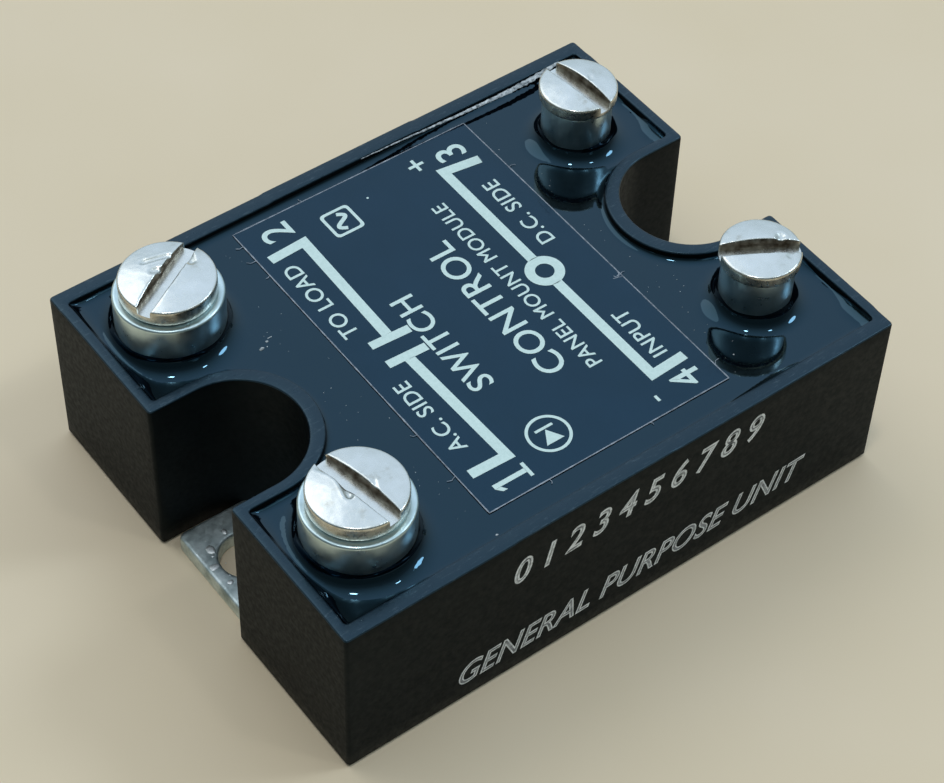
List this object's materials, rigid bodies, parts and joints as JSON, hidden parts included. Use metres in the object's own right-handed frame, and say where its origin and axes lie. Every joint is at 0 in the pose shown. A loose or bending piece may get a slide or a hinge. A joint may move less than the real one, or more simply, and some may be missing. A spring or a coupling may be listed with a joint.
{
  "type": "solid state relay",
  "caption": "Potted solid state relay: black frame with end notches over a metal base plate, screw terminals on posts, printed label on gloss epoxy.",
  "frame": {"origin": "centre of the mounting face, the underside of the base plate", "axes": "+Z out of the mounting face towards the terminals, +X towards the control end (terminals 3 and 4), +Y towards terminals 2 and 3"},
  "size_m": [0.0572, 0.0444, 0.0235],
  "materials": {
    "moulded_plastic": "black moulded thermoset, satin",
    "epoxy": "black casting epoxy, mirror gloss",
    "label": "dark clear-coated film with pale print",
    "plated_plate": "nickel-plated metal plate, sheared edges",
    "plated_post": "turned metal, dull nickel plate",
    "plated_screw": "steel, bright nickel plate",
    "alumina": "white alumina",
    "copper": "bare copper sheet",
    "silicon": "grey silicon die",
    "board": "green glass-epoxy board",
    "chip_plastic": "black moulded epoxy package",
    "tinned_lead": "tinned wire",
    "capacitor_case": "red-brown plastic box",
    "resistor_body": "tan coated ceramic"
  },
  "bodies": {
    "relay_body": {"housing": "moulded_plastic", "potting_compound": "epoxy", "label_film": "label", "base_plate": "plated_plate", "ceramic_insulator": "alumina", "circuit_board": "board", "opto_coupler": "chip_plastic", "opto_coupler_leads": "tinned_lead", "drive_transistor": "chip_plastic", "snubber_capacitor": "capacitor_case", "snubber_resistor": "resistor_body", "input_resistor": "resistor_body", "gate_resistor_1": "resistor_body", "gate_resistor_2": "resistor_body", "input_diode": "chip_plastic", "copper_pad_1": "copper", "cathode_clip_1": "copper", "load_strap_1": "copper", "thyristor_chip_1": "silicon", "gate_lead_1": "tinned_lead", "pad_lead_1": "tinned_lead", "copper_pad_2": "copper", "cathode_clip_2": "copper", "load_strap_2": "copper", "thyristor_chip_2": "silicon", "gate_lead_2": "tinned_lead", "pad_lead_2": "tinned_lead", "terminal_post_1": "plated_post", "terminal_post_2": "plated_post", "terminal_post_3": "plated_post", "terminal_post_4": "plated_post"},
    "screw_1": {"terminal_screw_1": "plated_screw"},
    "screw_2": {"terminal_screw_2": "plated_screw"},
    "screw_3": {"terminal_screw_3": "plated_screw"},
    "screw_4": {"terminal_screw_4": "plated_screw"}
  },
  "joints": [
    {"name": "screw_1_back_off", "type": "slide", "parent": "relay_body", "child": "screw_1", "axis": [0, 0, 1], "range_m": [0, 0.006]},
    {"name": "screw_2_back_off", "type": "slide", "parent": "relay_body", "child": "screw_2", "axis": [0, 0, 1], "range_m": [0, 0.006]},
    {"name": "screw_3_back_off", "type": "slide", "parent": "relay_body", "child": "screw_3", "axis": [0, 0, 1], "range_m": [0, 0.005]},
    {"name": "screw_4_back_off", "type": "slide", "parent": "relay_body", "child": "screw_4", "axis": [0, 0, 1], "range_m": [0, 0.005]}
  ]
}
